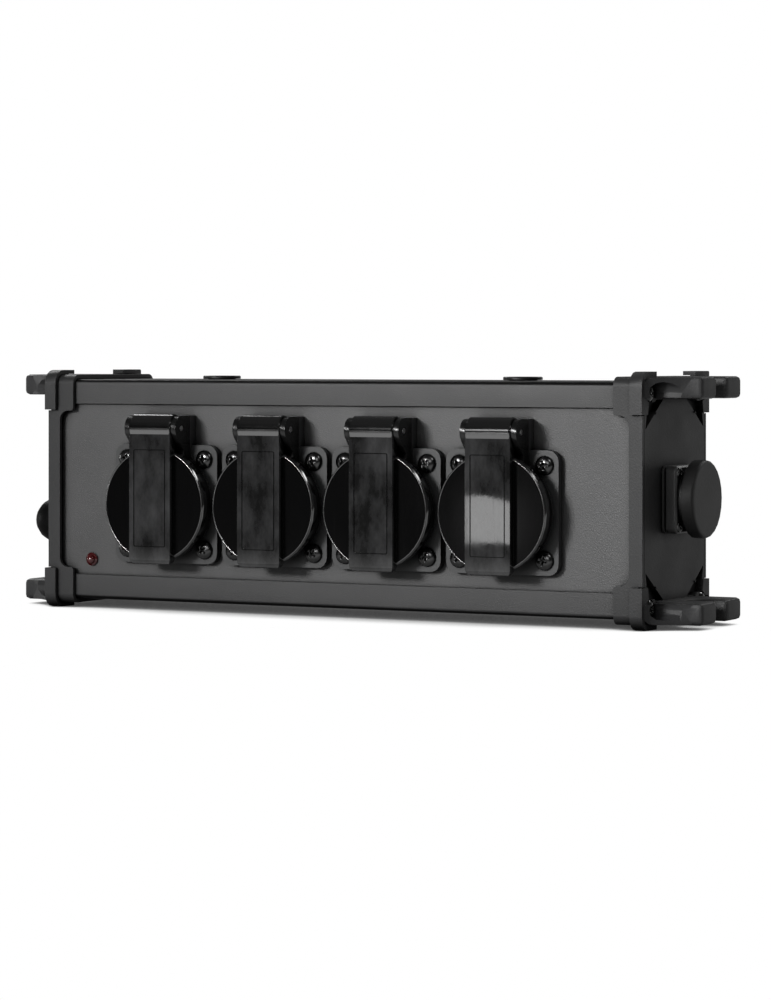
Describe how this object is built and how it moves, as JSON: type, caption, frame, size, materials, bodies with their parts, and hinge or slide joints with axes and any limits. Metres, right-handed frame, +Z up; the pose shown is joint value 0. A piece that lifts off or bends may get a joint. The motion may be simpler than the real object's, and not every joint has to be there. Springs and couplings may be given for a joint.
{
  "type": "power splitter box",
  "caption": "Long rectangular stage power splitter box with sprung hinged-lid earthed sockets, moulded fork-eared end caps and a locking connector at each end.",
  "frame": {"origin": "centre of the footprint of the whole box, level with the lowest faces of its corner lugs", "axes": "+X along the box from the inlet end to the outlet end, +Y from the socket side to the back, +Z up"},
  "size_m": [0.3188, 0.081, 0.102],
  "materials": {
    "case_paint": "fine-textured satin powder coat",
    "cap_plastic": "matt moulded",
    "black_screw": "blackened, semi-gloss",
    "steel": "plain",
    "zinc": "zinc plated",
    "flange_plastic": "matt moulded",
    "gasket_rubber": "matt",
    "lid_plastic": "glossy",
    "connector_plastic": "matt moulded",
    "cap_rubber": "matt",
    "brass": "plain",
    "contact_plastic": "matt",
    "lamp_red": "deep red",
    "brown_wire": "wire insulation",
    "blue_wire": "wire insulation",
    "green_wire": "wire insulation"
  },
  "bodies": {
    "case": {"top_rail": "case_paint", "bottom_rail": "case_paint", "front_panel": "case_paint", "back_panel": "case_paint", "end_frame_left": "cap_plastic", "end_frame_right": "cap_plastic", "end_cap_left": "cap_plastic", "end_cap_right": "cap_plastic", "end_screw_left_front_upper": "black_screw", "end_screw_left_front_lower": "black_screw", "end_screw_left_back_upper": "black_screw", "end_screw_left_back_lower": "black_screw", "end_screw_right_front_upper": "black_screw", "end_screw_right_front_lower": "black_screw", "end_screw_right_back_upper": "black_screw", "end_screw_right_back_lower": "black_screw", "socket_body_1": "flange_plastic", "socket_body_2": "flange_plastic", "socket_body_3": "flange_plastic", "socket_body_4": "flange_plastic", "socket_gasket_1": "gasket_rubber", "socket_gasket_2": "gasket_rubber", "socket_gasket_3": "gasket_rubber", "socket_gasket_4": "gasket_rubber", "earth_contact_1": "brass", "earth_contact_2": "brass", "earth_contact_3": "brass", "earth_contact_4": "brass", "contact_block_1": "contact_plastic", "contact_block_2": "contact_plastic", "contact_block_3": "contact_plastic", "contact_block_4": "contact_plastic", "lid_pin_1": "steel", "lid_pin_2": "steel", "lid_pin_3": "steel", "lid_pin_4": "steel", "lid_spring_1": "steel", "lid_spring_2": "steel", "lid_spring_3": "steel", "lid_spring_4": "steel", "outlet_gasket": "gasket_rubber", "outlet_connector": "connector_plastic", "inlet_gasket": "gasket_rubber", "inlet_connector": "connector_plastic", "reset_breaker": "connector_plastic", "indicator_lamp": "lamp_red", "clamp_insert_left": "zinc", "clamp_insert_right": "zinc", "live_wire": "brown_wire", "neutral_wire": "blue_wire", "earth_wire": "green_wire"},
    "lid_1": {"socket_lid_1": "lid_plastic"},
    "lid_2": {"socket_lid_2": "lid_plastic"},
    "lid_3": {"socket_lid_3": "lid_plastic"},
    "lid_4": {"socket_lid_4": "lid_plastic"},
    "outlet_cover": {"outlet_cap": "cap_rubber"},
    "breaker_button": {"reset_boot": "cap_rubber"}
  },
  "joints": [
    {"name": "lid_hinge_1", "type": "hinge", "parent": "case", "child": "lid_1", "pos_m": [-0.07965, -0.035, 0.0778], "axis": [-1, 0, 0], "range_deg": [0, 170], "stiffness_Nm_per_rad": 0.01, "springref_deg": -34.38},
    {"name": "lid_hinge_2", "type": "hinge", "parent": "case", "child": "lid_2", "pos_m": [-0.02715, -0.035, 0.0778], "axis": [-1, 0, 0], "range_deg": [0, 170], "stiffness_Nm_per_rad": 0.01, "springref_deg": -34.38},
    {"name": "lid_hinge_3", "type": "hinge", "parent": "case", "child": "lid_3", "pos_m": [0.02535, -0.035, 0.0778], "axis": [-1, 0, 0], "range_deg": [0, 170], "stiffness_Nm_per_rad": 0.01, "springref_deg": -34.38},
    {"name": "lid_hinge_4", "type": "hinge", "parent": "case", "child": "lid_4", "pos_m": [0.07785, -0.035, 0.0778], "axis": [-1, 0, 0], "range_deg": [0, 170], "stiffness_Nm_per_rad": 0.01, "springref_deg": -34.38},
    {"name": "outlet_cap_pull", "type": "slide", "parent": "case", "child": "outlet_cover", "axis": [1, 0, 0], "range_m": [0, 0.012]},
    {"name": "reset_push", "type": "slide", "parent": "case", "child": "breaker_button", "axis": [1, 0, 0], "range_m": [0, 0.0025], "stiffness_N_per_m": 800}
  ]
}
